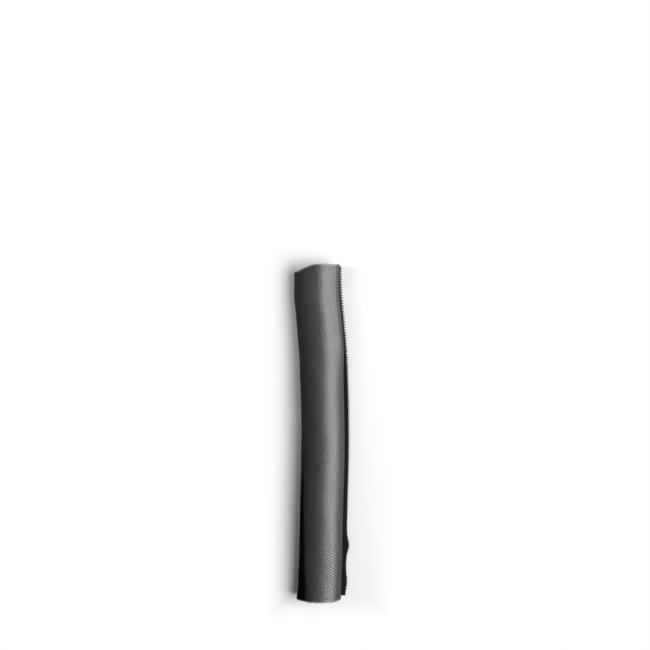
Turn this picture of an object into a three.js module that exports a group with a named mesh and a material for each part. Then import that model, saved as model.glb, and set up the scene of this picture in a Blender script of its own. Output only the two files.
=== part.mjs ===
// A self-wrapping cable sleeve: one woven band, heat-set into a curl that closes by itself,
// lying on its seam. Millimetres, +Z up, +Y along the sleeve. The origin is on the surface that
// the sleeve lies on, under the middle of its outline.
//
// The band starts at a free edge, low on the right. It runs under the sleeve, up the left side,
// over the top and down the right side, and ends inside, above its own start.

import * as THREE from "three";

const { degToRad, smoothstep } = THREE.MathUtils;

// The closed sleeve.
const sleeveLength = 166.8;
const outsideWidth = 21.3;
const outsideHeight = 20.4;
const wall = 0.8;

// The wrap. The margin under the sleeve ends in the free edge, freeEdgeReach to the right of the
// foot of the curl. It lies flat over flatReach and then rises by freeEdgeLift. The inner flap has
// drawn in under the next layer at nestedTurn, and runs on past the foot by overlapTurn. layerGap
// is the clearance between the two layers.
const freeEdgeReach = 12.9;
const flatReach = 7.1;
const freeEdgeLift = 0.9;
const nestedTurn = degToRad(345);
const overlapTurn = degToRad(60);
const layerGap = 0.5;

// The foot, where the curl is pressed flat: its lowest footPress is flat, and footEase is the
// height in which the flat eases back into the curl.
const footPress = 0.12;
const footEase = 0.25;

// The plain weave: lengthwise ends and crosswise picks. Its relief is drawn with one high or low
// point for each square of threadsPerStep ends and picks, where the weave can be seen.
const endPitch = 1.1;
const pickPitch = 0.68;
const threadsPerStep = 2;
const weaveRelief = 0.22;
const weaveFromTurn = degToRad(24);
const weaveToTurn = degToRad(300);

// The selvedge, a close-woven border on each long edge, with lengthwise cords. The picks turn
// back at the free edge in small loops.
const selvedgeWidth = 3;
const selvedgeCords = 2;
const cordRelief = 0.12;
const loopDepth = 0.3;

// How the soft sleeve lies: its sideways offset at shares of the length from the lower end.
const lieShares = [0, 0.14, 0.29, 0.44, 0.59, 0.74, 0.83, 0.91, 1];
const lieOffsets = [-0.7, 0, 0.5, 1.1, 0.85, -0.1, -1.35, -2.5, -2.4];

// Where the slack free edge swells out or draws in, at shares of the length.
const frills = [
  { share: 0.04, swell: 0.7, spread: 4.5 },
  { share: 0.152, swell: 1.2, spread: 4 },
  { share: 1, swell: -0.7, spread: 12 },
];

// The upper end is cut lower over its left side, by cutDip, and the weave is drawn down with it.
// The dip deepens over the first pair of turns and fades over the second.
const cutDip = 3.8;
const cutRun = 24;
const dipStartTurns = [degToRad(20), degToRad(85)];
const dipEndTurns = [degToRad(100), degToRad(165)];

// The lower end is pressed flat over its left shoulder, and its left side spreads at the cut.
const dentDepth = 1.1;
const dentRun = 32;
const dentTurn = degToRad(122);
const dentReach = degToRad(60);
const dentSoftness = 0.15;
const flareDepth = 0.6;
const flareRun = 6;
const flareSpread = degToRad(35);

// The fineness of the smooth stretches: steps along the sleeve and across the band. The normals
// are taken over normalStep, and stations within levelWithin count as level.
const smoothStepAlong = 8;
const smoothStepAcross = 2.6;
const normalStep = 0.2;
const levelWithin = 1e-6;

const leftTurn = Math.PI / 2;
const rightTurn = Math.PI * 1.5;
const fullTurn = Math.PI * 2;

const layerStep = wall + layerGap;
const radiusAcross = (outsideWidth - wall) / 2;
const radiusUp = (outsideHeight - wall + footPress + footEase) / 2;
const meanRadius = (radiusAcross + radiusUp) / 2;
const bandWidth = freeEdgeReach + (fullTurn + overlapTurn) * meanRadius;
const halfLength = sleeveLength / 2;

const lie = new THREE.CubicInterpolant(lieShares, lieOffsets, 1);

// The sideways offset of the sleeve at a station along it, from -halfLength to halfLength.
function lieAt(station) {
  return lie.evaluate(station / sleeveLength + 0.5)[0];
}

// How far the free edge lies from the foot at a station along the sleeve.
function reachAt(station) {
  const along = station + halfLength;
  return frills.reduce((reach, { share, swell, spread }) => {
    const away = (along - share * sleeveLength) / spread;
    return reach + swell * Math.exp(-away * away);
  }, freeEdgeReach);
}

// The height of a point of the curl once the foot is pressed flat.
function pressed(height) {
  const over = height - footPress;
  if (over <= 0) return 0;
  return over < 2 * footEase ? (over * over) / (4 * footEase) : over - footEase;
}

// The turn of the curl at a distance across the band, 0 at the foot of the curl.
function turnAt(across) {
  return (across - freeEdgeReach) / meanRadius;
}

// A 2D point, across and up, of the wall's middle surface on the margin under the sleeve.
function marginPoint(across, station) {
  const away = freeEdgeReach - across;
  const lift = freeEdgeLift * smoothstep(away, flatReach, freeEdgeReach);
  const stretch = reachAt(station) / freeEdgeReach;
  return new THREE.Vector2(away * stretch, wall / 2 + lift);
}

// The same on the curl. The inner flap is drawn in by one layer before it meets the margin.
function curlPoint(across, station) {
  const turn = turnAt(across);
  const inset = layerStep * smoothstep(turn, rightTurn, nestedTurn);
  const shape = flareAt(turn, station) - dentAt(turn, station) - inset;
  const height = radiusUp - inset - (radiusUp + shape) * Math.cos(turn);
  return new THREE.Vector2(
    -(radiusAcross + shape) * Math.sin(turn),
    wall / 2 + inset + pressed(height),
  );
}

// How far the side spreads at the lower cut.
function flareAt(turn, station) {
  const away = (turn - leftTurn) / flareSpread;
  const near = 1 - smoothstep(station + halfLength, 0, flareRun);
  return flareDepth * near * Math.exp(-away * away);
}

// How far the shoulder is pressed in near the lower end, where a chord takes the place of the arc.
function dentAt(turn, station) {
  const away = turn - dentTurn;
  if (Math.abs(away) > dentReach) return 0;
  const near = 1 - smoothstep(station + halfLength, 0, dentRun);
  const chord = (meanRadius - dentDepth * near) / Math.cos(away);
  const over = Math.max(0, meanRadius - chord);
  return (over * over) / (over + dentSoftness);
}

function sectionPoint(across, station) {
  return across < freeEdgeReach
    ? marginPoint(across, station)
    : curlPoint(across, station);
}

// The section's normal, facing away from the inside of the sleeve.
function sectionNormal(across, station) {
  const before = sectionPoint(Math.max(across - normalStep, 0), station);
  const after = sectionPoint(Math.min(across + normalStep, bandWidth), station);
  const tangent = after.sub(before).normalize();
  return new THREE.Vector2(-tangent.y, tangent.x);
}

// The place along the sleeve of a station, once the upper end is cut.
function cutAt(across, station) {
  const turn = turnAt(across);
  const side = smoothstep(turn, ...dipStartTurns) - smoothstep(turn, ...dipEndTurns);
  const near = smoothstep(station, halfLength - cutRun, halfLength);
  return station - cutDip * side * near;
}

// A point of the band, offset from its middle surface along the outward normal.
function bandPoint(across, station, offset, sideways = 0) {
  const point = sectionPoint(across, station);
  const normal = sectionNormal(across, station);
  point.addScaledVector(normal, offset);
  return new THREE.Vector3(
    point.x + sideways + lieAt(station),
    cutAt(across, station),
    point.y,
  );
}

// Evenly spaced values from start to end, with steps near the given one.
function spaced(start, end, step) {
  const count = Math.max(1, Math.round((end - start) / step));
  return Array.from({ length: count + 1 }, (_, i) => start + ((end - start) * i) / count);
}

const weaveStepAlong = threadsPerStep * pickPitch;
const weaveStepAcross = threadsPerStep * endPitch;
const weaveStations = spaced(-halfLength, halfLength, weaveStepAlong);
const selvedgeStations = spaced(-halfLength, halfLength, 2 * weaveStepAlong);
const smoothStations = spaced(-halfLength, halfLength, smoothStepAlong);

// The lengthwise lines of the band, from the free edge to the inner edge. A woven line has weave
// relief on its outer face, and every other cord line stands proud where it can be seen.
function bandLines() {
  const cordStep = selvedgeWidth / (2 * selvedgeCords);
  const weaveFrom = freeEdgeReach + weaveFromTurn * meanRadius;
  const weaveTo = freeEdgeReach + weaveToTurn * meanRadius;
  const line = (kind, stations) => (across, order) => ({ across, order, kind, stations });
  const margin = spaced(selvedgeWidth, freeEdgeReach, smoothStepAcross).slice(1);
  const foot = spaced(freeEdgeReach, weaveFrom, smoothStepAcross).slice(1, -1);
  const woven = spaced(weaveFrom, weaveTo, weaveStepAcross);
  const flap = spaced(weaveTo, bandWidth - selvedgeWidth, smoothStepAcross).slice(1, -1);
  return [
    ...spaced(0, selvedgeWidth, cordStep).map(line("cord", selvedgeStations)),
    ...[...margin, ...foot].map(line("smooth", smoothStations)),
    ...woven.map(line("woven", weaveStations)),
    ...flap.map(line("smooth", smoothStations)),
    ...spaced(bandWidth - selvedgeWidth, bandWidth, cordStep).map(line("cord", smoothStations)),
  ];
}

// Builds the closed surface of the band from lines of points that run along the sleeve.
class BandSurface {
  positions = [];
  triangles = [];

  // Adds one line of points, and returns its stations, point numbers and which points are high.
  addLine(stations, pointAt, isHigh = () => false) {
    const first = this.positions.length / 3;
    stations.forEach((station, row) => this.positions.push(...pointAt(station, row).toArray()));
    return {
      stations,
      ids: stations.map((_, row) => first + row),
      high: stations.map((_, row) => isHigh(row)),
    };
  }

  // Fills the strip between two neighbouring lines, whatever their numbers of points. Where two
  // steps are level, the diagonal joins the low points, so that each high point is a bump.
  fillBetween(a, b) {
    let i = 0;
    let j = 0;
    while (i < a.ids.length - 1 || j < b.ids.length - 1) {
      const nextA = a.stations[i + 1] ?? Infinity;
      const nextB = b.stations[j + 1] ?? Infinity;
      const level = Math.abs(nextA - nextB) < levelWithin;
      if (level ? a.high[i] : nextA < nextB) {
        this.triangles.push(a.ids[i], b.ids[j], a.ids[i + 1]);
        i += 1;
      } else {
        this.triangles.push(a.ids[i], b.ids[j], b.ids[j + 1]);
        j += 1;
      }
    }
  }

  // Closes one end between the outer lines and the inner lines, at row 0 or at the last row.
  closeEnd(outer, inner, atLast) {
    const id = (line) => (atLast ? line.ids.at(-1) : line.ids[0]);
    for (let k = 0; k < outer.length - 1; k += 1) {
      const corners = [outer[k], inner[k], inner[k + 1], outer[k + 1]].map(id);
      if (atLast) corners.reverse();
      const [p, q, r, s] = corners;
      this.triangles.push(p, q, r, p, r, s);
    }
  }

  geometry() {
    const made = new THREE.BufferGeometry();
    made.setAttribute("position", new THREE.Float32BufferAttribute(this.positions, 3));
    made.setIndex(this.triangles);
    made.computeVertexNormals();
    return made;
  }
}

function wovenBandGeometry() {
  const surface = new BandSurface();
  const lines = bandLines();
  const last = lines.length - 1;

  // The picks' loops stand out of the free edge at every other point of its line.
  const edgeLine = (side) =>
    surface.addLine(weaveStations, (station, row) =>
      bandPoint(0, station, (side * wall) / 2, row % 2 ? loopDepth : 0),
    );

  // The faces that lie on the ground or on the other layer have no relief.
  const faceLine = ({ across, order, kind, stations }, side) => {
    const isHigh = (row) => side > 0 && kind === "woven" && (row + order) % 2 === 0;
    const cord = side < 0 && kind === "cord" && order % 2 === 1 ? cordRelief : 0;
    return surface.addLine(
      side < 0 && kind === "woven" ? smoothStations : stations,
      (station, row) => {
        const relief = isHigh(row) ? weaveRelief : cord;
        return bandPoint(across, station, side * (wall / 2 + relief));
      },
      isHigh,
    );
  };

  const outer = lines.map((line, k) => (k ? faceLine(line, 1) : edgeLine(1)));
  const inner = lines.map((line, k) => (k ? faceLine(line, -1) : edgeLine(-1)));
  for (let k = 0; k < last; k += 1) {
    surface.fillBetween(outer[k], outer[k + 1]);
    surface.fillBetween(inner[k + 1], inner[k]);
  }
  surface.fillBetween(outer[last], inner[last]);
  surface.fillBetween(inner[0], outer[0]);
  surface.closeEnd(outer, inner, false);
  surface.closeEnd(outer, inner, true);
  return surface.geometry();
}

const wovenPolyester = new THREE.MeshStandardMaterial({
  color: 0x4a4a4a,
  roughness: 0.55,
  metalness: 0,
});

const wovenBand = new THREE.Mesh(wovenBandGeometry(), wovenPolyester);
wovenBand.name = "woven_band";

// The outline is centred over the origin, with the foot on the ground.
const outline = new THREE.Box3().setFromObject(wovenBand);
const middle = outline.getCenter(new THREE.Vector3());
wovenBand.position.set(-middle.x, -middle.y, -outline.min.z);

const sleeve = new THREE.Group();
sleeve.add(wovenBand);

export default sleeve;
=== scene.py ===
"""A self-wrapping cable sleeve lying on its seam: its looks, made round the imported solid.

The sleeve is one plain-woven band with a close-woven border on each long edge, heat-set into a
curl that closes by itself. The cloth is measured in millimetres: `across` runs over the band from
its free edge to its inner edge, and `station` runs along the sleeve from its middle.
"""

import logging
import math
from collections.abc import Sequence
from dataclasses import dataclass, field
from enum import Enum

import bpy
import numpy as np
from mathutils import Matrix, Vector


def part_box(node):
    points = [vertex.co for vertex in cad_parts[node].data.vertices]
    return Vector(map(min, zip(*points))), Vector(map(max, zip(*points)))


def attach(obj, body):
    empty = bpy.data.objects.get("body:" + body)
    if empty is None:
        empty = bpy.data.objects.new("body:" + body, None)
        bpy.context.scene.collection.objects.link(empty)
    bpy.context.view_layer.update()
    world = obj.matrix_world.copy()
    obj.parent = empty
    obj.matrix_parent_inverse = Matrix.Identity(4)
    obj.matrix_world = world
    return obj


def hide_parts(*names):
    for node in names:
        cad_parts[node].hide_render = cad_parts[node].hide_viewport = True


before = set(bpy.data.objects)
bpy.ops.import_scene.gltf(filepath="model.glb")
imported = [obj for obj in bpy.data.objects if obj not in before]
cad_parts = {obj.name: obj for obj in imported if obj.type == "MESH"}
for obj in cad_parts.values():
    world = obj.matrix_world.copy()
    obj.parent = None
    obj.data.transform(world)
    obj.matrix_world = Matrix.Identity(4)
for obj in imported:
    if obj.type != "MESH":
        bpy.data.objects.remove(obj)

MM = 0.001
CAD_NODE = "woven_band"
CLOTH_MAP = "cloth"
SHARP_ANGLE = 62
# No yarn runs this way, so that each tube's section has a clear way up.
TUBE_REFERENCE = (0.31, 0.17, 0.93)

Faces = list[tuple[int, ...]]
Socket = bpy.types.NodeSocket
Span = tuple[float, float]

log = logging.getLogger("cable_sleeve")


def smoothstep(value: np.ndarray, low: float, high: float) -> np.ndarray:
    """Eases from 0 at low to 1 at high.

    Args:
        value: Where to look.
        low: The value at which the step starts.
        high: The value at which it ends.

    Returns:
        The eased share at each value.
    """
    share = np.clip((value - low) / (high - low), 0.0, 1.0)
    return share * share * (3.0 - 2.0 * share)


@dataclass(frozen=True)
class Bump:
    """A bell-shaped change, `swell` mm high and `spread` mm wide, at a share of the length."""

    share: float
    swell: float
    spread: float


@dataclass(frozen=True)
class Shoulder:
    """A soft ridge round one turn of the curl, which grows towards an end of the sleeve.

    `way` is 1 for the upper end and -1 for the lower one. `start` and `full` are distances from
    the sleeve's middle.
    """

    turn: float
    spread: float
    swell: float
    way: int
    start: float
    full: float


@dataclass(frozen=True)
class Wave:
    """One wave of the wall's unevenness, counted in radians for each mm along and each turn."""

    height: float
    along: float
    round: float
    phase: float


@dataclass(frozen=True)
class Lie:
    """How the soft sleeve lies: its sideways offset at shares of the length from the lower end."""

    shares: tuple[float, ...] = (0, 0.14, 0.29, 0.44, 0.59, 0.74, 0.83, 0.91, 1)
    offsets: tuple[float, ...] = (-0.7, 0, 0.5, 1.1, 0.85, -0.1, -1.35, -2.5, -2.4)

    def at(self, share: np.ndarray) -> np.ndarray:
        """Gives the sideways offset, on a smooth curve through the given ones.

        Args:
            share: Shares of the length from the lower end.

        Returns:
            The offsets in millimetres.
        """
        shares, offsets = np.array(self.shares), np.array(self.offsets)
        steps, rises = np.diff(shares), np.diff(offsets)
        slopes = rises / steps
        slopes = np.concatenate([slopes[:1], (slopes[:-1] + slopes[1:]) / 2, slopes[-1:]])
        span = np.clip(np.searchsorted(shares, share, side="right") - 1, 0, len(steps) - 1)
        t = (share - shares[span]) / steps[span]
        leave = slopes[span] * steps[span] * (t**3 - 2 * t**2 + t)
        arrive = slopes[span + 1] * steps[span] * (t**3 - t**2)
        return offsets[span] + rises[span] * (3 * t**2 - 2 * t**3) + leave + arrive


@dataclass(frozen=True)
class Weave:
    """The plain weave: lengthwise ends over and under crosswise picks, in millimetres."""

    end_pitch: float = 1.1
    picks: int = 245
    sway: float = 0.12
    end_crown: float = 0.045
    pick_crown: float = 0.05
    end_rise: float = 0.04
    slant: float = 0.08
    lead: float = 0.02
    gap_top: float = 0.1
    gap_floor: float = 0.02

    def height(self, ends: np.ndarray, picks: np.ndarray) -> np.ndarray:
        """Gives how far the threads stand out of the wall.

        Args:
            ends: Places across the band, counted in ends.
            picks: Places along the sleeve, counted in picks.

        Returns:
            The height of the upper thread at each place, in millimetres.
        """
        end, pick = np.floor(ends), np.floor(picks)
        off_end, off_pick = ends - end - 0.5, picks - pick - 0.5
        end_line = self.sway * np.cos(math.pi * (picks - 0.5 - end + self.slant * off_end))
        pick_line = -self.sway * np.cos(math.pi * (ends - 0.5 - pick))
        end_line = end_line + self.end_rise
        end_top = end_line + self.end_crown * np.sqrt(np.maximum(0, 1 - 4 * off_end**2))
        pick_top = pick_line + self.pick_crown * np.sqrt(np.maximum(0, 1 - 4 * off_pick**2))
        return np.maximum(np.maximum(end_top, pick_top), 0)


@dataclass(frozen=True)
class SleeveForm:
    """The form of the band as it lies, with its sizes in millimetres and its turns in degrees."""

    length: float = 166.8
    outside_width: float = 21.3
    outside_height: float = 20.4
    wall: float = 0.8
    free_edge_reach: float = 12.9
    flat_reach: float = 7.1
    free_edge_lift: float = 0.9
    nested: Span = (270, 345)
    overlap_turn: float = 60
    layer_gap: float = 0.5
    foot_press: float = 0.12
    foot_ease: float = 0.25
    selvedge: float = 3.0
    cut_dip: float = 3.8
    cut_run: float = 24
    dip_start: Span = (5, 55)
    dip_end: Span = (108, 184)
    dip_inner: Span = (365, 415)
    dent_depth: float = 1.1
    dent_run: float = 32
    dent_turn: float = 122
    dent_reach: float = 60
    dent_softness: float = 0.15
    flare_depth: float = 0.6
    flare_run: float = 6
    flare_turn: float = 90
    flare_spread: float = 35
    ripple_depth: float = 0.1
    ripple_start: Span = (25, 70)
    ripple_end: Span = (250, 300)
    ripples: tuple[Wave, ...] = (
        Wave(height=1.0, along=0.115, round=2.0, phase=0.6),
        Wave(height=0.7, along=0.19, round=-3.0, phase=2.1),
        Wave(height=0.5, along=0.31, round=5.0, phase=4.0),
    )
    normal_step: float = 0.2
    frills: tuple[Bump, ...] = (Bump(0.04, 0.7, 4.5), Bump(0.152, 1.2, 4), Bump(1, -0.7, 12))
    shoulders: tuple[Shoulder, ...] = (
        Shoulder(turn=251, spread=18, swell=1.35, way=1, start=20, full=48),
        Shoulder(turn=168, spread=30, swell=-0.8, way=1, start=10, full=60),
        Shoulder(turn=219, spread=18, swell=0.25, way=-1, start=30, full=60),
    )
    lie: Lie = field(default_factory=Lie)

    @property
    def layer_step(self) -> float:
        """The distance between the two layers of the wrap."""
        return self.wall + self.layer_gap

    @property
    def radius_across(self) -> float:
        """Half the width of the wall's middle surface."""
        return (self.outside_width - self.wall) / 2

    @property
    def radius_up(self) -> float:
        """Half the height of the wall's middle surface before the foot is pressed flat."""
        return (self.outside_height - self.wall + self.foot_press + self.foot_ease) / 2

    @property
    def mean_radius(self) -> float:
        """The radius that turns distances across the band into turns."""
        return (self.radius_across + self.radius_up) / 2

    @property
    def band_width(self) -> float:
        """The width of the band when it is laid out flat."""
        return self.free_edge_reach + math.radians(360 + self.overlap_turn) * self.mean_radius

    def across_at(self, turn: float) -> float:
        """The distance across the band at a turn in degrees from the foot."""
        return self.free_edge_reach + math.radians(turn) * self.mean_radius

    def turn_at(self, across: np.ndarray) -> np.ndarray:
        """The turn in degrees from the foot at distances across the band."""
        return np.degrees((across - self.free_edge_reach) / self.mean_radius)

    def pressed(self, height: np.ndarray) -> np.ndarray:
        """Presses the foot of the curl flat.

        Args:
            height: Heights of the round curl above its foot.

        Returns:
            The heights once the foot is flat.
        """
        over = np.maximum(height - self.foot_press, 0)
        eased = over**2 / (4 * self.foot_ease)
        return np.where(over < 2 * self.foot_ease, eased, over - self.foot_ease)

    def reach_at(self, station: np.ndarray) -> np.ndarray:
        """Gives how far the free edge lies from the foot.

        Args:
            station: Stations along the sleeve.

        Returns:
            The reach at each station.
        """
        along = station + self.length / 2
        reach = np.full_like(along, self.free_edge_reach)
        for bump in self.frills:
            away = (along - bump.share * self.length) / bump.spread
            reach = reach + bump.swell * np.exp(-(away**2))
        return reach

    def flare(self, turn: np.ndarray, station: np.ndarray) -> np.ndarray:
        """Gives how far the left side spreads at the lower cut.

        Args:
            turn: Turns in degrees.
            station: Stations along the sleeve.

        Returns:
            What the spread adds to the radius.
        """
        away = (turn - self.flare_turn) / self.flare_spread
        near = 1 - smoothstep(station + self.length / 2, 0, self.flare_run)
        return self.flare_depth * near * np.exp(-(away**2))

    def dent(self, turn: np.ndarray, station: np.ndarray) -> np.ndarray:
        """Gives how far the shoulder is pressed in, where a chord takes the place of the arc.

        Args:
            turn: Turns in degrees.
            station: Stations along the sleeve.

        Returns:
            What the pressed shoulder takes from the radius.
        """
        away = np.clip(turn - self.dent_turn, -self.dent_reach, self.dent_reach)
        near = 1 - smoothstep(station + self.length / 2, 0, self.dent_run)
        chord = (self.mean_radius - self.dent_depth * near) / np.cos(np.radians(away))
        over = np.maximum(0, self.mean_radius - chord)
        return over**2 / (over + self.dent_softness)

    def ridge(self, turn: np.ndarray, station: np.ndarray) -> np.ndarray:
        """Gives how far the soft right shoulder swells.

        Args:
            turn: Turns in degrees.
            station: Stations along the sleeve.

        Returns:
            What the shoulder adds to the radius.
        """
        total = np.zeros(np.broadcast(turn, station).shape)
        for shoulder in self.shoulders:
            away = (turn - shoulder.turn) / shoulder.spread
            near = smoothstep(station * shoulder.way, shoulder.start, shoulder.full)
            total = total + shoulder.swell * near * np.exp(-(away**2))
        return total

    def ripple(self, turn: np.ndarray, station: np.ndarray) -> np.ndarray:
        """Gives the slight unevenness of the soft wall, none at its foot and in the inner flap.

        Args:
            turn: Turns in degrees.
            station: Stations along the sleeve.

        Returns:
            What the unevenness adds to the radius.
        """
        t = np.radians(turn)
        waves = sum(
            wave.height * np.sin(wave.along * station + wave.round * t + wave.phase)
            for wave in self.ripples
        )
        held = smoothstep(turn, *self.ripple_start) * (1 - smoothstep(turn, *self.ripple_end))
        return self.ripple_depth * waves * held / sum(wave.height for wave in self.ripples)

    def section(self, across: np.ndarray, station: np.ndarray) -> tuple[np.ndarray, np.ndarray]:
        """Gives the middle surface of the wall, across and up.

        Args:
            across: Distances across the band.
            station: Stations along the sleeve.

        Returns:
            The points' distances to the right of the foot and their heights.
        """
        away = self.free_edge_reach - across
        lift = self.free_edge_lift * smoothstep(away, self.flat_reach, self.free_edge_reach)
        margin_x = away * self.reach_at(station) / self.free_edge_reach
        margin_z = self.wall / 2 + lift

        turn = np.maximum(self.turn_at(across), 0)
        inset = self.layer_step * smoothstep(turn, *self.nested)
        shape = self.flare(turn, station) - self.dent(turn, station) - inset
        shape = shape + self.ripple(turn, station) + self.ridge(turn, station)
        angle = np.radians(turn)
        height = self.radius_up - inset - (self.radius_up + shape) * np.cos(angle)
        curl_x = -(self.radius_across + shape) * np.sin(angle)
        curl_z = self.wall / 2 + inset + self.pressed(height)

        on_margin = across < self.free_edge_reach
        return np.where(on_margin, margin_x, curl_x), np.where(on_margin, margin_z, curl_z)

    def cut(self, across: np.ndarray, station: np.ndarray) -> np.ndarray:
        """Gives the place along the sleeve, once the upper end is cut at a slant.

        Args:
            across: Distances across the band.
            station: Stations along the sleeve.

        Returns:
            The places along the sleeve.
        """
        turn = self.turn_at(across)
        side = smoothstep(turn, *self.dip_start) - smoothstep(turn, *self.dip_end)
        side = side + smoothstep(turn, *self.dip_inner)
        near = smoothstep(station, self.length / 2 - self.cut_run, self.length / 2)
        return station - self.cut_dip * side * near

    def points(
        self, across: np.ndarray, station: np.ndarray, offset: np.ndarray, sideways: np.ndarray
    ) -> np.ndarray:
        """Places points of the cloth.

        Args:
            across: Distances across the band.
            station: Stations along the sleeve.
            offset: Distances from the wall's middle surface, outward.
            sideways: Distances added to the right.

        Returns:
            The points, one row each, in millimetres.
        """
        across, station, offset, sideways = np.broadcast_arrays(across, station, offset, sideways)
        step = self.normal_step
        x, z = self.section(across, station)
        x0, z0 = self.section(np.maximum(across - step, 0), station)
        x1, z1 = self.section(np.minimum(across + step, self.band_width), station)
        along = np.hypot(x1 - x0, z1 - z0)
        out_x, out_z = -(z1 - z0) / along, (x1 - x0) / along
        shift = self.lie.at(station / self.length + 0.5) + sideways
        columns = (x + out_x * offset + shift, self.cut(across, station), z + out_z * offset)
        return np.stack(columns, axis=-1)


class Dress(Enum):
    """Which finish a face of the cloth wears, by the slot's number on the mesh."""

    OUTSIDE = 0
    INSIDE = 1
    BORDER = 2
    CUT = 3


@dataclass
class ClothLine:
    """One line of points that runs along the sleeve on one face of the cloth."""

    across: float
    stations: np.ndarray
    offset: np.ndarray
    sideways: np.ndarray
    dress: Dress
    first: int = 0


@dataclass
class ClothMesh:
    """The band as one closed mesh, from lines of points round its section."""

    form: SleeveForm
    weave: Weave
    seed: int = 11
    columns_per_end: int = 3
    fine_from: float = 20
    fine_to: float = 288
    inner_rows: int = 124
    cord_pitch: float = 0.5
    cord_relief: float = 0.1
    cord_waist: float = 0.2
    column_gap: float = 0.1
    fine_gap: float = 0.2
    edge_bead: float = 0.06
    edge_scallop: float = 0.1
    jag: Span = (0.05, 0.32)
    end_jags: tuple[np.ndarray, np.ndarray] = field(init=False)

    def __post_init__(self) -> None:
        """Draws how far each end sticks out of the two cuts."""
        threads = int(self.form.band_width / self.weave.end_pitch) + 2
        dice = np.random.default_rng(self.seed)
        self.end_jags = (dice.uniform(*self.jag, threads), dice.uniform(*self.jag, threads))

    def fine_stations(self) -> np.ndarray:
        """The stations of a line with two points to a pick."""
        half = self.form.length / 2
        return np.linspace(-half, half, 2 * self.weave.picks + 1)

    def pick_stations(self) -> np.ndarray:
        """The stations of a line with one point to a pick, on its crown."""
        fine = self.fine_stations()
        return np.concatenate([fine[:1], fine[1::2], fine[-1:]])

    def sparse_stations(self) -> np.ndarray:
        """The stations of a line inside the sleeve."""
        half = self.form.length / 2
        return np.linspace(-half, half, self.inner_rows)

    def counts(self, across: float, stations: np.ndarray) -> tuple[np.ndarray, np.ndarray]:
        """Turns places in millimetres into places counted in threads.

        Args:
            across: The distance across the band.
            stations: The stations along the sleeve.

        Returns:
            The places counted in ends, and those counted in picks.
        """
        ends = (across - self.form.selvedge) / self.weave.end_pitch
        picks = (stations / self.form.length + 0.5) * self.weave.picks
        return np.full_like(stations, ends), picks

    def woven_line(self, across: float, stations: np.ndarray, side: int) -> ClothLine:
        """Makes a line of the woven body.

        Args:
            across: The distance across the band.
            stations: The stations along the sleeve.
            side: 1 on the outer face, or -1 on the inner one, which is drawn smooth.

        Returns:
            The line.
        """
        relief = self.weave.height(*self.counts(across, stations)) if side > 0 else 0
        offset = side * (self.form.wall / 2 + relief) * np.ones_like(stations)
        dress = Dress.OUTSIDE if side > 0 else Dress.INSIDE
        return ClothLine(across, stations, offset, np.zeros_like(stations), dress)

    def border_lines(self, start: float, stations: np.ndarray, side: int) -> list[ClothLine]:
        """Makes the lines of a border, with a cord at every other one.

        Args:
            start: The distance across the band at which the border starts.
            stations: The stations along the sleeve.
            side: 1 on the outer face, or -1 on the inner one.

        Returns:
            The lines, from the border's start to its end.
        """
        count = 2 * round(self.form.selvedge / self.cord_pitch)
        _, picks = self.counts(start, stations)
        lines, level = [], np.zeros_like(stations)
        for k in range(count + 1):
            wave = np.cos(math.pi * (picks + k // 2))
            knots = 1 - self.cord_waist + self.cord_waist * wave
            relief = self.cord_relief * knots * (k % 2)
            offset = side * (self.form.wall / 2 + relief)
            across = start + k * self.cord_pitch / 2
            lines.append(ClothLine(across, stations, offset, level, Dress.BORDER))
        return lines

    def body_columns(self, low: float, high: float, per_end: int) -> list[float]:
        """Gives the places of evenly spaced columns in a stretch of the woven body.

        Args:
            low: The distance across the band at which the stretch starts.
            high: The distance at which it ends.
            per_end: How many columns each end has. A single one lies on its crown.

        Returns:
            The distances across the band.
        """
        pitch = self.weave.end_pitch / per_end
        shift = self.form.selvedge + (pitch / 2 if per_end == 1 else 0)
        first, last = math.ceil((low - shift) / pitch), math.ceil((high - shift) / pitch)
        return [shift + k * pitch for k in range(first, last)]

    def outer_lines(self) -> list[ClothLine]:
        """Makes the outer face's lines, from the free edge to the inner edge.

        Returns:
            The lines. Where the weave shows they are close together.
        """
        form, last = self.form, self.form.band_width - self.form.selvedge
        fine, pick = self.fine_stations(), self.pick_stations()
        shown, hidden = form.across_at(self.fine_from), form.across_at(self.fine_to)
        low, high = form.selvedge + self.column_gap, last - self.column_gap
        body = [
            *[(a, pick) for a in self.body_columns(low, shown - self.fine_gap, 1)],
            *[(a, fine) for a in self.body_columns(shown, hidden, self.columns_per_end)],
            *[(a, pick) for a in self.body_columns(hidden + self.fine_gap, high, 1)],
        ]
        return [
            *self.border_lines(0, pick, 1),
            *[self.woven_line(across, stations, 1) for across, stations in body],
            *self.border_lines(last, pick, 1),
        ]

    def inner_lines(self) -> list[ClothLine]:
        """Makes the inner face's lines, from the free edge to the inner edge.

        Returns:
            The lines. Those of the free edge's border are close together.
        """
        form, last = self.form, self.form.band_width - self.form.selvedge
        low, high = form.selvedge + self.column_gap, last - self.column_gap
        body = self.body_columns(low, high, 1)
        return [
            *self.border_lines(0, self.fine_stations(), -1),
            *[self.woven_line(across, self.sparse_stations(), -1) for across in body],
            *self.border_lines(last, self.sparse_stations(), -1),
        ]

    def edge_line(self, across: float, scallop: float, reach: float) -> ClothLine:
        """Makes the line along the middle of an edge, where the picks turn back.

        Args:
            across: The distance across the band.
            scallop: How far the turns of the picks stand out.
            reach: How far the bead of the edge stands out, to the right.

        Returns:
            The line.
        """
        stations = self.fine_stations()
        _, picks = self.counts(across, stations)
        sideways = reach + scallop * (0.5 - 0.5 * np.cos(math.pi * picks))
        return ClothLine(across, stations, np.zeros_like(stations), sideways, Dress.BORDER)

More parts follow.
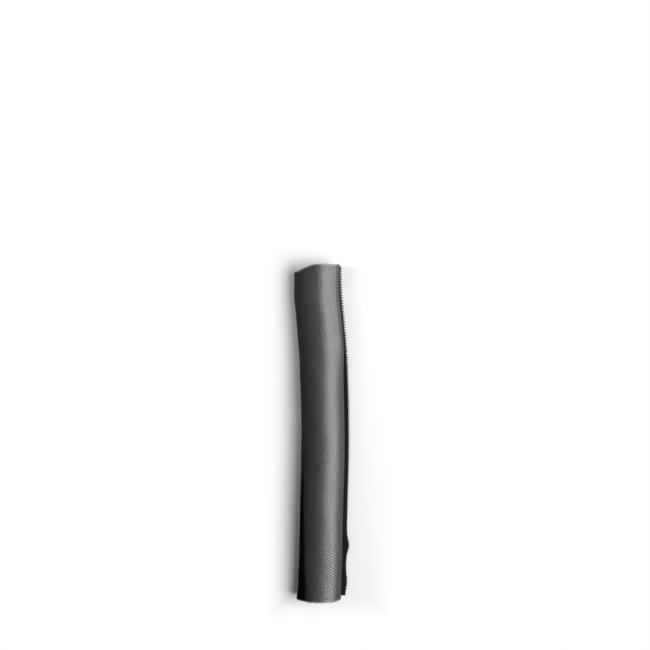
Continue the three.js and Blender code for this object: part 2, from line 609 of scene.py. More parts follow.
    def jagged(self, line: ClothLine) -> np.ndarray:
        """Lets the ends of the cloth stick out of the two cuts.

        Args:
            line: A line of the cloth.

        Returns:
            Its stations, with the first and the last moved out.
        """
        ends = (line.across - self.form.selvedge) / self.weave.end_pitch
        number = int(math.floor(ends))
        crown = 1 - (2 * (ends - number) - 1) ** 2
        stations = line.stations.copy()
        stations[0] -= self.end_jags[0][number] * crown
        stations[-1] += self.end_jags[1][number] * crown
        return stations

    @staticmethod
    def strip(a: ClothLine, b: ClothLine) -> Faces:
        """Fills the strip between two neighbouring lines.

        Args:
            a: The line on the left of the strip.
            b: The line on its right.

        Returns:
            The faces.
        """
        if len(a.stations) == len(b.stations):
            low = np.arange(len(a.stations) - 1)
            ids = (a.first + low, b.first + low, b.first + low + 1, a.first + low + 1)
            return [tuple(row) for row in np.stack(ids, axis=1).tolist()]
        first = [(station, a.first + k) for k, station in enumerate(a.stations)]
        second = [(station, b.first + k) for k, station in enumerate(b.stations)]
        return zipped(first, second)

    def build(self, name: str, middle: np.ndarray) -> tuple[bpy.types.Object, np.ndarray]:
        """Makes the closed mesh.

        Args:
            name: The piece's name.
            middle: The middle of the foot of the box that it fills, in millimetres.

        Returns:
            The piece, in metres, and where its own origin lies in the frame, in millimetres.
        """
        form = self.form
        outer, inner = self.outer_lines(), self.inner_lines()
        free_edge = self.edge_line(0, self.edge_scallop, self.edge_bead)
        inner_edge = self.edge_line(form.band_width, 0, 0)
        ring = [*outer, inner_edge, *reversed(inner), free_edge]

        points, places, total = [], [], 0
        for line in ring:
            line.first = total
            total += len(line.stations)
            moved = self.jagged(line)
            points.append(form.points(line.across, moved, line.offset, line.sideways))
            along = line.stations + form.length / 2
            places.append(np.stack([np.full_like(along, line.across), along], axis=1))

        faces, dresses = [], []
        for a, b in zip(ring, ring[1:] + ring[:1]):
            made = self.strip(a, b)
            faces += made
            dress = a.dress if a.dress == b.dress else Dress.BORDER
            dresses += [dress.value] * len(made)
        before, after = -1.0, form.band_width + 1.0
        for row in (0, -1):
            chain = [(before, free_edge), *[(line.across, line) for line in outer]]
            chain.append((after, inner_edge))
            first = [(at, self.id_at(line, row)) for at, line in chain]
            second = [(line.across, self.id_at(line, row)) for line in inner]
            cap = zipped(first, second)
            faces += cap if row == 0 else [face[::-1] for face in cap]
            dresses += [Dress.CUT.value] * len(cap)

        cloth = np.concatenate(points)
        low, high = cloth.min(axis=0), cloth.max(axis=0)
        shift = middle - np.array([(low[0] + high[0]) / 2, (low[1] + high[1]) / 2, low[2]])
        piece = make_mesh(name, (cloth + shift) * MM, faces, dresses, np.concatenate(places))
        return piece, shift

    @staticmethod
    def id_at(line: ClothLine, row: int) -> int:
        """The number of a line's first point, or of its last one where row is -1."""
        return line.first if row == 0 else line.first + len(line.stations) - 1


def zipped(first: Sequence[tuple[float, int]], second: Sequence[tuple[float, int]]) -> Faces:
    """Joins two chains of points by triangles, each time from the chain that lags behind.

    Args:
        first: The first chain, as the points' places along it and their numbers.
        second: The second chain, in the same form.

    Returns:
        The triangles.
    """
    faces: Faces = []
    i = j = 0
    while i < len(first) - 1 or j < len(second) - 1:
        next_first = first[i + 1][0] if i < len(first) - 1 else math.inf
        next_second = second[j + 1][0] if j < len(second) - 1 else math.inf
        if next_first < next_second:
            faces.append((first[i][1], second[j][1], first[i + 1][1]))
            i += 1
        else:
            faces.append((first[i][1], second[j][1], second[j + 1][1]))
            j += 1
    return faces


def make_mesh(
    name: str,
    points: np.ndarray,
    faces: Faces,
    dresses: Sequence[int],
    places: np.ndarray,
) -> bpy.types.Object:
    """Makes a smooth mesh that knows where each of its points lies on the cloth.

    Args:
        name: The piece's name.
        points: The points in metres, one row each.
        faces: The faces, as numbers of points.
        dresses: Each face's material slot.
        places: Each point's place on the cloth, across and along, in millimetres.

    Returns:
        The piece, linked to the scene.
    """
    mesh = bpy.data.meshes.new(name)
    mesh.from_pydata(points.tolist(), [], faces)
    mesh.polygons.foreach_set("material_index", np.array(dresses, dtype=np.int32))
    mesh.polygons.foreach_set("use_smooth", np.ones(len(faces), dtype=bool))
    corners = np.zeros(len(mesh.loops), dtype=np.int32)
    mesh.loops.foreach_get("vertex_index", corners)
    layer = mesh.uv_layers.new(name=CLOTH_MAP)
    layer.uv.foreach_set("vector", places[corners].astype(np.float32).ravel())
    mesh.set_sharp_from_angle(angle=math.radians(SHARP_ANGLE))
    mesh.update()
    piece = bpy.data.objects.new(name, mesh)
    bpy.context.scene.collection.objects.link(piece)
    return piece


def tube(path: np.ndarray, radii: np.ndarray, sides: int) -> tuple[np.ndarray, Faces]:
    """Makes a closed round tube along a path.

    Args:
        path: The points that it follows, one row each.
        radii: Its radius at each point.
        sides: How many sides its section has.

    Returns:
        Its points, and its faces as numbers of points.
    """
    ahead = np.gradient(path, axis=0)
    ahead /= np.linalg.norm(ahead, axis=1, keepdims=True)
    side = np.cross(ahead, TUBE_REFERENCE)
    side /= np.linalg.norm(side, axis=1, keepdims=True)
    up = np.cross(side, ahead)
    turn = np.linspace(0, 2 * math.pi, sides, endpoint=False)
    ring = side[:, None] * np.cos(turn)[:, None] + up[:, None] * np.sin(turn)[:, None]
    points = path[:, None] + ring * radii[:, None, None]
    faces: Faces = []
    for k in range(len(path) - 1):
        for j in range(sides):
            a, b = k * sides + j, k * sides + (j + 1) % sides
            faces.append((a, a + sides, b + sides, b))
    faces.append(tuple(range(sides)))
    faces.append(tuple(reversed(range((len(path) - 1) * sides, len(path) * sides))))
    return points.reshape(-1, 3), faces


@dataclass
class YarnPiece:
    """Many short lengths of yarn gathered in one mesh."""

    points: list[np.ndarray] = field(default_factory=list)
    faces: Faces = field(default_factory=list)
    places: list[np.ndarray] = field(default_factory=list)

    def add(self, path: np.ndarray, radii: np.ndarray, sides: int, across: float) -> None:
        """Adds one length of yarn.

        Args:
            path: The points that it follows, in millimetres.
            radii: Its radius at each point.
            sides: How many sides its section has.
            across: Where on the cloth it belongs, for its tone.
        """
        made, faces = tube(path, radii, sides)
        start = sum(len(part) for part in self.points)
        self.points.append(made)
        self.faces += [tuple(start + k for k in face) for face in faces]
        self.places.append(np.stack([np.full(len(made), across), made[:, 1]], axis=1))

    def build(self, name: str, shift: np.ndarray) -> bpy.types.Object:
        """Makes the mesh.

        Args:
            name: The piece's name.
            shift: Where the sleeve's own origin lies in the frame, in millimetres.

        Returns:
            The piece, in metres.
        """
        points = (np.concatenate(self.points) + shift) * MM
        dresses = [0] * len(self.faces)
        return make_mesh(name, points, self.faces, dresses, np.concatenate(self.places))


@dataclass
class EdgeLoops:
    """The small loops in which the picks turn back round the free edge.

    They stand out more between the two shares of the length in `growth`.
    """

    form: SleeveForm
    weave: Weave
    radius: float = 0.21
    stand_out: Span = (0.42, 0.8)
    growth: Span = (0.2, 0.6)
    set_in: float = 0.06
    set_down: float = 0.02
    slant: float = 0.22
    widest_turn: float = 118
    steps: int = 9
    sides: int = 6

    def build(self, shift: np.ndarray) -> bpy.types.Object:
        """Makes a loop at every other pick.

        Args:
            shift: Where the sleeve's own origin lies in the frame, in millimetres.

        Returns:
            The piece.
        """
        yarn = YarnPiece()
        turns = np.radians(np.linspace(-self.widest_turn, self.widest_turn, self.steps))
        pitch = self.form.length / self.weave.picks
        for pick in range(1, self.weave.picks, 2):
            station = np.array([pick * pitch - self.form.length / 2])
            middle = self.form.points(np.zeros(1), station, np.zeros(1), np.zeros(1))[0]
            stand_out = np.interp(pick / self.weave.picks, self.growth, self.stand_out)
            x = middle[0] - self.set_in + stand_out * np.cos(turns)
            y = middle[1] + self.slant * turns / turns[-1]
            z = middle[2] + (self.form.wall / 2 - self.set_down) * np.sin(turns)
            radii = np.full(self.steps, self.radius)
            yarn.add(np.stack([x, y, z], axis=1), radii, self.sides, 0.0)
        return yarn.build("free_edge_loops", shift)


@dataclass
class CutThreads:
    """The fine filaments that stand out of the two cuts, where the ends fray a little."""

    form: SleeveForm
    weave: Weave
    seed: int = 5
    per_end: int = 5
    shortest: float = 0.25
    longest: float = 1.15
    radius: float = 0.045
    splay: float = 0.3
    curl: float = 0.25
    rooted: float = 0.5
    scatter: Span = (0.1, 0.9)
    depth: float = 0.36
    root_size: float = 1.1
    taper: float = 0.6
    steps: int = 5
    sides: int = 4

    def build(self, shift: np.ndarray) -> bpy.types.Object:
        """Makes the filaments of both cuts.

        Args:
            shift: Where the sleeve's own origin lies in the frame, in millimetres.

        Returns:
            The piece.
        """
        yarn, dice, form = YarnPiece(), np.random.default_rng(self.seed), self.form
        count = int(form.band_width / self.weave.end_pitch) * self.per_end
        steps = np.linspace(0, 1, self.steps)
        for way in (-1, 1):
            for k in range(count):
                across = (k + dice.uniform(*self.scatter)) * form.band_width / count
                offset = dice.uniform(-self.depth, self.depth) * form.wall
                root = np.array([way * (form.length / 2 - self.rooted)])
                start = form.points(np.array([across]), root, np.array([offset]), np.zeros(1))[0]
                reach = self.rooted + dice.uniform(self.shortest, self.longest) * dice.random() ** 2
                aim = np.array([dice.normal(0, self.splay), 0.0, dice.normal(0, self.splay)])
                bend = np.array([dice.normal(0, self.curl), 0.0, dice.normal(0, self.curl)])
                out = np.maximum(steps * reach - self.rooted, 0)[:, None]
                path = start + out * aim + out**2 * bend
                path[:, 1] = start[1] + way * steps * reach
                radii = self.radius * (self.root_size - self.taper * steps)
                yarn.add(path, radii, self.sides, across)
        return yarn.build("cut_end_threads", shift)


class Graph:
    """A node tree in the making, with short ways to add and join its nodes."""

    def __init__(self, tree: bpy.types.NodeTree) -> None:
        """Keeps the tree that the nodes go into."""
        self.tree = tree

    def add(self, kind: str, **settings: object) -> bpy.types.Node:
        """Adds a node and sets its own settings.

        Args:
            kind: The node's type.
            settings: Its settings by name.

        Returns:
            The node.
        """
        node = self.tree.nodes.new(kind)
        for name, value in settings.items():
            setattr(node, name, value)
        return node

    def feed(self, socket: Socket, value: object) -> None:
        """Joins a socket to another one, or sets its value.

        Args:
            socket: The socket.
            value: What goes into it, as a socket or a value.
        """
        if isinstance(value, Socket):
            self.tree.links.new(value, socket)
        else:
            socket.default_value = value

    def math(self, operation: str, *values: object) -> Socket:
        """Adds a Math node.

        Args:
            operation: What it works out.
            values: Its inputs, as sockets or numbers.

        Returns:
            Its result.
        """
        node = self.add("ShaderNodeMath", operation=operation)
        for socket, value in zip(node.inputs, values):
            self.feed(socket, value)
        return node.outputs[0]

    def blend(self, share: object, low: object, high: object) -> Socket:
        """Adds a Mix node for numbers.

        Args:
            share: How much of the second value there is.
            low: The first value.
            high: The second value.

        Returns:
            The mixed number.
        """
        node = self.add("ShaderNodeMix", data_type="FLOAT")
        for socket, value in zip(node.inputs, (share, None, low, high)):
            if value is not None:
                self.feed(socket, value)
        return node.outputs[0]

    def group(self, tree: bpy.types.NodeTree, **values: object) -> bpy.types.Node:
        """Adds a group node.

        Args:
            tree: The group's tree.
            values: Its inputs by name, with a low line for each space.

        Returns:
            The node.
        """
        node = self.add("ShaderNodeGroup", node_tree=tree)
        for name, value in values.items():
            self.feed(node.inputs[name.replace("_", " ")], value)
        return node

    def ease(self, value: object, low: float, high: float) -> Socket:
        """Adds a smooth step.

        Args:
            value: Where to look.
            low: The value at which the step is 0.
            high: The value at which it is 1.

        Returns:
            The eased share.
        """
        node = self.add("ShaderNodeMapRange", interpolation_type="SMOOTHSTEP")
        for socket, number in zip(node.inputs, (value, low, high, 0.0, 1.0)):
            self.feed(socket, number)
        return node.outputs[0]

    def flat(self, place: Socket) -> tuple[Socket, Socket]:
        """Takes the first two numbers of a place.

        Args:
            place: The place.

        Returns:
            The two numbers.
        """
        node = self.add("ShaderNodeSeparateXYZ")
        self.feed(node.inputs[0], place)
        return node.outputs[0], node.outputs[1]

    def grey(self, tone: Socket) -> Socket:
        """Turns a number into a neutral grey.

        Args:
            tone: The number.

        Returns:
            The colour.
        """
        node = self.add("ShaderNodeCombineColor")
        for socket in node.inputs:
            self.feed(socket, tone)
        return node.outputs[0]


def new_group(
    name: str, inputs: dict[str, object], outputs: Sequence[str]
) -> tuple[Graph, bpy.types.Node, bpy.types.Node]:
    """Starts a shader node group.

    Args:
        name: The group's name.
        inputs: The inputs' names and values. None makes a vector.
        outputs: The names of its outputs, which are numbers.

    Returns:
        Its graph, its input node and its output node.
    """
    tree = bpy.data.node_groups.new(name, "ShaderNodeTree")
    for label, value in inputs.items():
        kind = "NodeSocketVector" if value is None else "NodeSocketFloat"
        socket = tree.interface.new_socket(name=label, in_out="INPUT", socket_type=kind)
        if value is not None:
            socket.default_value = value
    for label in outputs:
        tree.interface.new_socket(name=label, in_out="OUTPUT", socket_type="NodeSocketFloat")
    graph = Graph(tree)
    return graph, graph.add("NodeGroupInput"), graph.add("NodeGroupOutput")


def weave_group(weave: Weave, form: SleeveForm) -> bpy.types.NodeTree:
    """Makes the group that tells where the threads of the plain weave lie.

    Args:
        weave: The weave.
        form: The sleeve's form.

    Returns:
        The group. Height is in millimetres, End Over is 1 on an end, and Gap is 1 between threads.
    """
    inputs = {
        "Cloth": None,
        "End Pitch": weave.end_pitch,
        "Pick Pitch": form.length / weave.picks,
        "First End": form.selvedge,
        "Sway": weave.sway,
        "End Crown": weave.end_crown,
        "Pick Crown": weave.pick_crown,
        "End Rise": weave.end_rise,
        "Slant": weave.slant,
    }
    g, given, result = new_group("plain_weave", inputs, ["Height", "End Over", "Gap"])
    across, along = g.flat(given.outputs["Cloth"])
    across = g.math("SUBTRACT", across, given.outputs["First End"])
    ends = g.math("DIVIDE", across, given.outputs["End Pitch"])
    picks = g.math("DIVIDE", along, given.outputs["Pick Pitch"])

    def thread_top(over: object, along: object, crown: object, way: float, slant: object) -> object:
        """Works out the height of one set of threads.

        Args:
            over: Counts the threads, across them.
            along: Counts the threads that cross them.
            crown: How much higher the middle of a thread is than its sides.
            way: 1 for the ends, or -1 for the picks.
            slant: How much the crossings lean.

        Returns:
            The height.
        """
        number = g.math("FLOOR", over)
        off = g.math("SUBTRACT", g.math("SUBTRACT", over, number), 0.5)
        phase = g.math("SUBTRACT", g.math("SUBTRACT", along, 0.5), number)
        phase = g.math("ADD", phase, g.math("MULTIPLY", off, slant))
        wave = g.math("COSINE", g.math("MULTIPLY", phase, math.pi))
        line = g.math("MULTIPLY", g.math("MULTIPLY", wave, given.outputs["Sway"]), way)
        round_top = g.math("SUBTRACT", 1.0, g.math("MULTIPLY", g.math("POWER", off, 2.0), 4.0))
        arch = g.math("SQRT", g.math("MAXIMUM", round_top, 0.0))
        return g.math("ADD", line, g.math("MULTIPLY", arch, crown))

    slant = given.outputs["Slant"]
    end_top = thread_top(ends, picks, given.outputs["End Crown"], 1.0, slant)
    end_top = g.math("ADD", end_top, given.outputs["End Rise"])
    pick_top = thread_top(picks, ends, given.outputs["Pick Crown"], -1.0, 0.0)
    height = g.math("MAXIMUM", g.math("MAXIMUM", end_top, pick_top), 0.0)
    g.feed(result.inputs["Height"], height)
    lead = g.math("SUBTRACT", end_top, pick_top)
    g.feed(result.inputs["End Over"], g.ease(lead, -weave.lead, weave.lead))
    g.feed(result.inputs["Gap"], g.ease(height, weave.gap_top, weave.gap_floor))
    return g.tree


def cut_group(form: SleeveForm) -> bpy.types.NodeTree:
    """Makes the group for the wear along the two cuts.

    Args:
        form: The sleeve's form.

    Returns:
        The group. Wear is 1 at a cut and 0 a little way in.
    """
    inputs = {"Cloth": None, "Reach": 0.7, "Raggedness": 1.6}
    full_wear, least_reach = 0.3, 0.5
    g, given, result = new_group("cut_wear", inputs, ["Wear"])
    _, along = g.flat(given.outputs["Cloth"])
    half = form.length / 2
    away = g.math("SUBTRACT", half, g.math("ABSOLUTE", g.math("SUBTRACT", along, half)))
    rough = g.add("ShaderNodeTexNoise", noise_dimensions="2D")
    g.feed(rough.inputs["Vector"], given.outputs["Cloth"])
    g.feed(rough.inputs["Scale"], given.outputs["Raggedness"])
    reach = g.math("ADD", rough.outputs["Fac"], least_reach)
    ragged = g.math("MULTIPLY", given.outputs["Reach"], reach)
    g.feed(result.inputs["Wear"], g.ease(g.math("DIVIDE", away, ragged), 1.0, full_wear))
    return g.tree


def filament_group() -> bpy.types.NodeTree:
    """Makes the group for the fine filaments that a yarn is made of.

    Returns:
        The group. Height runs from 0 to 1, and Tone varies a little from one yarn to the next.
    """
    inputs = {"Cloth": None, "Pitch": 1.1, "First": 0.0, "Count": 7.0, "Twist": 0.25, "Spread": 0.1}
    drift_scale, drift_detail = 0.35, 3.0
    g, given, result = new_group("yarn_filaments", inputs, ["Height", "Tone"])
    across, along = g.flat(given.outputs["Cloth"])
    across = g.math("SUBTRACT", across, given.outputs["First"])
    threads = g.math("DIVIDE", across, given.outputs["Pitch"])
    lines = g.math("MULTIPLY", threads, given.outputs["Count"])
    twist = g.math("MULTIPLY", along, given.outputs["Twist"])
    wave = g.math("SINE", g.math("MULTIPLY", g.math("ADD", lines, twist), 2 * math.pi))
    g.feed(result.inputs["Height"], g.math("ADD", g.math("MULTIPLY", wave, 0.5), 0.5))

    number = g.add("ShaderNodeTexWhiteNoise", noise_dimensions="1D")
    g.feed(number.inputs["W"], g.math("FLOOR", threads))
    slow = g.add("ShaderNodeTexNoise", noise_dimensions="2D")
    g.feed(slow.inputs["Vector"], given.outputs["Cloth"])
    g.feed(slow.inputs["Scale"], drift_scale)
    g.feed(slow.inputs["Detail"], drift_detail)
    mixed = g.math("ADD", number.outputs["Value"], slow.outputs["Fac"])
    swing = g.math("MULTIPLY", g.math("SUBTRACT", mixed, 1.0), given.outputs["Spread"])
    g.feed(result.inputs["Tone"], g.math("ADD", swing, 1.0))
    return g.tree


@dataclass(frozen=True)
class YarnGroups:
    """The node groups that the finishes share."""

    weave: bpy.types.NodeTree
    filaments: bpy.types.NodeTree
    cut: bpy.types.NodeTree


@dataclass(frozen=True)
class PaintedShadePatch:
    """A patch of painted shade on the woven face, by the lower cut: darker and matte.

    It runs from `across_from` to a slanting edge, which starts at `across_to` and comes in by
    `slant` for each millimetre from the cut. It fades out between `fade_from` and `fade_to`.
    `metal` only takes the gloss away, so that the painted shade reflects little: the cloth isn't
    metal.
    """

    across_from: float = 27.0
    across_to: float = 37.2
    slant: float = 0.045
    start_ease: float = 4.0
    softness: float = 1.2
    fade_from: float = 48.0
    fade_to: float = 84.0
    shade: float = 0.1
    roughness: float = 0.95
    metal: float = 0.75

    def mask(self, g: Graph, cloth: Socket) -> Socket:
        """Adds the patch's mask.

        Args:
            g: The material's graph.
            cloth: The place on the cloth.

        Returns:
            The mask, which is 1 in the patch.
        """
        across, along = g.flat(cloth)
        leant = g.math("ADD", across, g.math("MULTIPLY", along, self.slant))
        inside = g.ease(leant, self.across_to + self.softness, self.across_to - self.softness)
        start = g.ease(across, self.across_from - self.start_ease, self.across_from)
        near = g.ease(along, self.fade_to, self.fade_from)
        return g.math("MULTIPLY", g.math("MULTIPLY", inside, start), near)


@dataclass(frozen=True)
class WovenFinish:
    """The finish of a woven face."""

    name: str
    end_tone: float
    pick_tone: float
    gap_shade: float
    end_roughness: float
    pick_roughness: float
    gap_roughness: float
    specular: float
    relief: float
    cut_tone: float = 0.16
    filament_depth: float = 0.012
    first_end: float = 3.0
    patch: PaintedShadePatch | None = None

    def build(self, groups: YarnGroups) -> bpy.types.Material:
        """Makes the material.

        Args:
            groups: The shared node groups.

        Returns:
            The material.
        """
        material, g, shader = new_material(self.name)
        cloth = g.add("ShaderNodeUVMap", uv_map=CLOTH_MAP).outputs[0]
        weave = g.group(groups.weave, Cloth=cloth)
        yarn = g.group(groups.filaments, Cloth=cloth, First=self.first_end)
        over, gap = weave.outputs["End Over"], weave.outputs["Gap"]
        tone = g.blend(over, self.pick_tone, self.end_tone)
        shade = g.blend(gap, 1.0, self.gap_shade)
        tone = g.math("MULTIPLY", g.math("MULTIPLY", tone, shade), yarn.outputs["Tone"])
        rough = g.blend(over, self.pick_roughness, self.end_roughness)
        rough = g.blend(gap, rough, self.gap_roughness)
        # Painted shade: the patch by the lower cut is darkened, made matte and loses its gloss.
        if self.patch:
            pressed = self.patch.mask(g, cloth)
            tone = g.math("MULTIPLY", tone, g.blend(pressed, 1.0, self.patch.shade))
            rough = g.blend(pressed, rough, self.patch.roughness)
            g.feed(shader.inputs["Metallic"], g.math("MULTIPLY", pressed, self.patch.metal))
        worn = g.group(groups.cut, Cloth=cloth).outputs["Wear"]
        g.feed(shader.inputs["Base Color"], g.grey(g.blend(worn, tone, self.cut_tone)))
        g.feed(shader.inputs["Roughness"], rough)
        shader.inputs["Specular IOR Level"].default_value = self.specular
        lines = g.math("MULTIPLY", yarn.outputs["Height"], self.filament_depth)
        lines = g.math("MULTIPLY", lines, over)
        height = g.math("MULTIPLY", weave.outputs["Height"], self.relief)
        bump(g, shader, g.math("ADD", height, lines))
        return material


@dataclass(frozen=True)
class YarnFinish:
    """The finish of bare yarn, on the borders, the loops and the frayed ends.

    Its tone is `worn` times as light towards the upper end, past a given distance from the lower
    cut: painted light.
    """

    name: str
    tone: float
    roughness: float
    specular: float
    sheen: float
    pitch: float
    count: float
    twist: float
    depth: float = 0.02
    shades: Span = (0.72, 1.1)
    sheen_roughness: float = 0.5
    # Painted light: how many times as light the upper end is.
    worn: float = 1.0
    lit_from: float = 118.0
    lit_to: float = 136.0

    def build(self, groups: YarnGroups) -> bpy.types.Material:
        """Makes the material.

        Args:
            groups: The shared node groups.

        Returns:
            The material.
        """
        material, g, shader = new_material(self.name)
        cloth = g.add("ShaderNodeUVMap", uv_map=CLOTH_MAP).outputs[0]
        yarn = g.group(
            groups.filaments, Cloth=cloth, Pitch=self.pitch, Count=self.count, Twist=self.twist
        )
        shade = g.blend(yarn.outputs["Height"], *self.shades)
        tone = g.math("MULTIPLY", g.math("MULTIPLY", shade, yarn.outputs["Tone"]), self.tone)
        # Painted light: the yarn is lighter towards the upper end.
        _, along = g.flat(cloth)
        upper = g.ease(along, self.lit_from, self.lit_to)
        tone = g.math("MULTIPLY", tone, g.blend(upper, 1.0, self.worn))
        g.feed(shader.inputs["Base Color"], g.grey(tone))
        shader.inputs["Roughness"].default_value = self.roughness
        shader.inputs["Specular IOR Level"].default_value = self.specular
        shader.inputs["Sheen Weight"].default_value = self.sheen
        shader.inputs["Sheen Roughness"].default_value = self.sheen_roughness
        bump(g, shader, g.math("MULTIPLY", yarn.outputs["Height"], self.depth))
        return material


def new_material(name: str) -> tuple[bpy.types.Material, Graph, bpy.types.Node]:
    """Starts a material.

    Args:
        name: Its name.

    Returns:
        The material, the graph of its nodes, and its shader.
    """
    material = bpy.data.materials.new(name)
    material.use_nodes = True
    return material, Graph(material.node_tree), material.node_tree.nodes["Principled BSDF"]


def bump(g: Graph, shader: bpy.types.Node, height: Socket) -> None:
    """Joins a height to a shader's normal.

    Args:
        g: The material's graph.
        shader: The shader.
        height: The height in millimetres.
    """
    node = g.add("ShaderNodeBump")
    node.inputs["Strength"].default_value = 1.0
    node.inputs["Distance"].default_value = MM
    g.feed(node.inputs["Height"], height)
    g.feed(shader.inputs["Normal"], node.outputs[0])


@dataclass
class CableSleeve:
    """The whole sleeve: its cloth, the loops of its free edge and the threads of its cuts."""

    form: SleeveForm = field(default_factory=SleeveForm)
    weave: Weave = field(default_factory=Weave)
    outside: WovenFinish = WovenFinish(
        name="woven_polyester_outside",
        end_tone=0.023,
        pick_tone=0.006,
        gap_shade=0.3,
        end_roughness=0.37,
        pick_roughness=0.7,
        gap_roughness=0.9,
        specular=0.75,
        relief=0.1,
        # painted shade on the lower-left flank, by the lower cut
        patch=PaintedShadePatch(),
    )
    inside: WovenFinish = WovenFinish(
        name="woven_polyester_inside",
        end_tone=0.014,
        pick_tone=0.011,
        gap_shade=0.3,
        end_roughness=0.7,
        pick_roughness=0.8,
        gap_roughness=0.9,
        specular=0.25,
        relief=1.0,
    )
    border: YarnFinish = YarnFinish(
        name="close_woven_border",
        tone=0.004,
        roughness=0.8,
        specular=0.14,
        sheen=0.0,
        pitch=0.5,
        count=3.0,
        twist=0.7,
        # painted light: the border is ten times as light at the upper end
        worn=10.0,
    )
    fray: YarnFinish = YarnFinish(
        name="frayed_yarn",
        tone=0.25,
        roughness=0.7,
        specular=0.3,
        sheen=0.3,
        pitch=1.1,
        count=9.0,
        twist=0.2,
    )

    def build(self) -> np.ndarray:
        """Makes and dresses every piece.

        Returns:
            Where the sleeve's own origin lies in the frame, in millimetres.
        """
        groups = YarnGroups(
            weave_group(self.weave, self.form), filament_group(), cut_group(self.form)
        )
        outside, inside = self.outside.build(groups), self.inside.build(groups)
        border, fray = self.border.build(groups), self.fray.build(groups)

        low, high = (np.array(corner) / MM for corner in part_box(CAD_NODE))
        middle = np.array([(low[0] + high[0]) / 2, (low[1] + high[1]) / 2, low[2]])
        cloth, shift = ClothMesh(self.form, self.weave).build("woven_band_cloth", middle)
        loops = EdgeLoops(self.form, self.weave).build(shift)
        threads = CutThreads(self.form, self.weave).build(shift)
        for piece, dresses in (
            (cloth, (outside, inside, border, fray)),
            (loops, (border,)),
            (threads, (fray,)),
        ):
            for material in dresses:
                piece.data.materials.append(material)
            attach(piece, "root")
            log.info("%s: %d faces", piece.name, len(piece.data.polygons))
        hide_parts(CAD_NODE)
        return shift


@dataclass(frozen=True)
class Lamp:
    """One soft lamp. It faces a point `along` metres up the sleeve from its middle."""

    name: str
    azimuth: float
    elevation: float
    distance: float
    width: float
    length: float
    power: float
    diffuse: bool = True
    glossy: bool = True
    along: float = 0.0
    spread: float = 180.0

    def build(self) -> None:
        """Puts the lamp in the scene. Azimuth 0 is to the right, and 90 beyond the upper end."""
        data = bpy.data.lights.new(self.name, "AREA")
        data.shape = "RECTANGLE"
        data.size, data.size_y = self.width, self.length
        data.energy, data.spread = self.power, math.radians(self.spread)
        lamp = bpy.data.objects.new(self.name, data)
        flat, up = math.radians(self.azimuth), math.radians(self.elevation)
        aim = Vector((math.cos(flat) * math.cos(up), math.sin(flat) * math.cos(up), math.sin(up)))
        lamp.location = aim * self.distance + Vector((0.0, self.along, 0.0))
        lamp.rotation_euler = aim.to_track_quat("Z", "Y").to_euler()
        lamp.visible_diffuse, lamp.visible_glossy = self.diffuse, self.glossy
        bpy.context.scene.collection.objects.link(lamp)


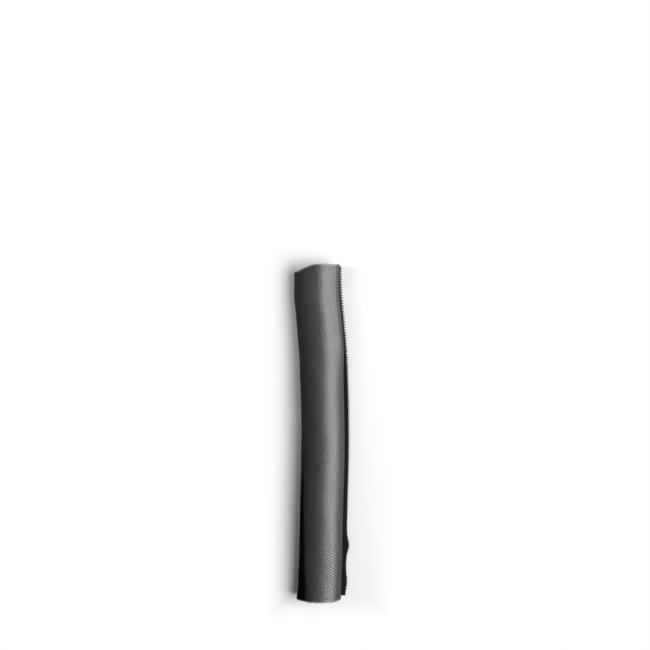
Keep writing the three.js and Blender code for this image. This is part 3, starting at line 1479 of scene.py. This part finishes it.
@dataclass
class Studio:
    """The plain pale floor, the soft light and the camera straight above.

    The floor's sizes are in metres and the camera's place is in millimetres. The camera sees the
    floor turn white over `white_across` to the left and the right of `white_middle`, and over
    `white_along` from the sleeve's middle. `glint_left` and `glint_right` are the floor's shares
    of tone for glossy rays, at the lower end and at the upper one: painted shade in what the
    sleeve reflects, darker on the left and towards the lower end.
    """

    floor_tone: float = 0.9
    floor_size: float = 8.0
    white: float = 1.0
    white_middle: float = 0.004
    white_across: Span = (0.018, 0.033)
    white_along: Span = (0.082, 0.097)
    fill: float = 0.1
    glossy_fill: float = 0.31
    glint_left: Span = (0.03, 0.18)
    glint_right: Span = (0.2, 0.75)
    glint_reach: float = 0.1
    floor_roughness: float = 0.9
    camera_across: float = 2.15
    camera_along: float = 53.4
    camera_height: float = 690.0
    lens: float = 75.3
    lamps: tuple[Lamp, ...] = (
        Lamp("key_softbox", -4, 61, 1.0, 0.6, 0.75, 10.7, glossy=False),
        Lamp("highlight_strip", 8, 37, 1.0, 1.3, 0.6, 37.0, diffuse=False),
        Lamp("left_softbox", 180, 58, 0.6, 0.12, 0.4, 0.09, glossy=False, along=0.11, spread=43),
    )

    def build(self, shift: np.ndarray) -> None:
        """Makes the floor, the light and the camera.

        Args:
            shift: Where the sleeve's own origin lies in the frame, in millimetres.
        """
        self.build_floor()
        self.build_world()
        for lamp in self.lamps:
            lamp.build()
        self.build_camera(shift)

    def build_floor(self) -> None:
        """Makes the floor, which the camera sees fade to an even white away from the sleeve."""
        half = self.floor_size / 2
        mesh = bpy.data.meshes.new("floor")
        corners = [(-half, -half), (half, -half), (half, half), (-half, half)]
        mesh.from_pydata([(x, y, 0.0) for x, y in corners], [], [(0, 1, 2, 3)])
        floor = bpy.data.objects.new("floor", mesh)
        bpy.context.scene.collection.objects.link(floor)
        material, g, shader = new_material("pale_floor")
        path = g.add("ShaderNodeLightPath")
        glossy = path.outputs["Is Glossy Ray"]
        across, along = g.flat(g.add("ShaderNodeNewGeometry").outputs["Position"])
        # Painted shade in reflections: for glossy rays the floor is darker on the left and towards
        # the lower end.
        right = g.math("GREATER_THAN", across, 0.0)
        upper = g.ease(along, -self.glint_reach, self.glint_reach)
        glint = g.blend(right, g.blend(upper, *self.glint_left), g.blend(upper, *self.glint_right))
        tone = g.math("MULTIPLY", g.blend(glossy, 1.0, glint), self.floor_tone)
        across = g.math("ABSOLUTE", g.math("SUBTRACT", across, self.white_middle))
        along = g.math("ABSOLUTE", along)
        beside, beyond = g.ease(across, *self.white_across), g.ease(along, *self.white_along)
        far = g.math("MULTIPLY", g.math("MAXIMUM", beside, beyond), path.outputs["Is Camera Ray"])
        g.feed(shader.inputs["Base Color"], g.grey(g.blend(far, tone, 0.0)))
        g.feed(shader.inputs["Emission Color"], g.grey(g.math("MULTIPLY", far, self.white)))
        shader.inputs["Emission Strength"].default_value = 1.0
        shader.inputs["Roughness"].default_value = self.floor_roughness
        shader.inputs["Specular IOR Level"].default_value = 0.0
        mesh.materials.append(material)

    def build_world(self) -> None:
        """Makes the even light from all round, and a white background."""
        world = bpy.data.worlds.new("studio")
        world.use_nodes = True
        g = Graph(world.node_tree)
        background = world.node_tree.nodes["Background"]
        background.inputs["Color"].default_value = (1, 1, 1, 1)
        path = g.add("ShaderNodeLightPath")
        level = g.blend(path.outputs["Is Glossy Ray"], self.fill, self.glossy_fill)
        g.feed(background.inputs["Strength"], g.blend(path.outputs["Is Camera Ray"], level, 1.0))
        bpy.context.scene.world = world

    def build_camera(self, shift: np.ndarray) -> None:
        """Makes the camera, which looks straight down.

        Args:
            shift: Where the sleeve's own origin lies in the frame, in millimetres.
        """
        data = bpy.data.cameras.new("camera")
        data.lens = self.lens
        camera = bpy.data.objects.new("camera", data)
        place = (self.camera_across + shift[0], self.camera_along + shift[1], self.camera_height)
        camera.location = Vector(place) * MM
        bpy.context.scene.collection.objects.link(camera)
        bpy.context.scene.camera = camera


def main() -> None:
    """Builds the sleeve and the studio round it."""
    logging.basicConfig(level=logging.INFO, format="%(name)s: %(message)s")
    bpy.context.scene.view_settings.view_transform = "Standard"
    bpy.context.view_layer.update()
    shift = CableSleeve().build()
    Studio().build(shift)


if __name__ == "__main__":
    main()
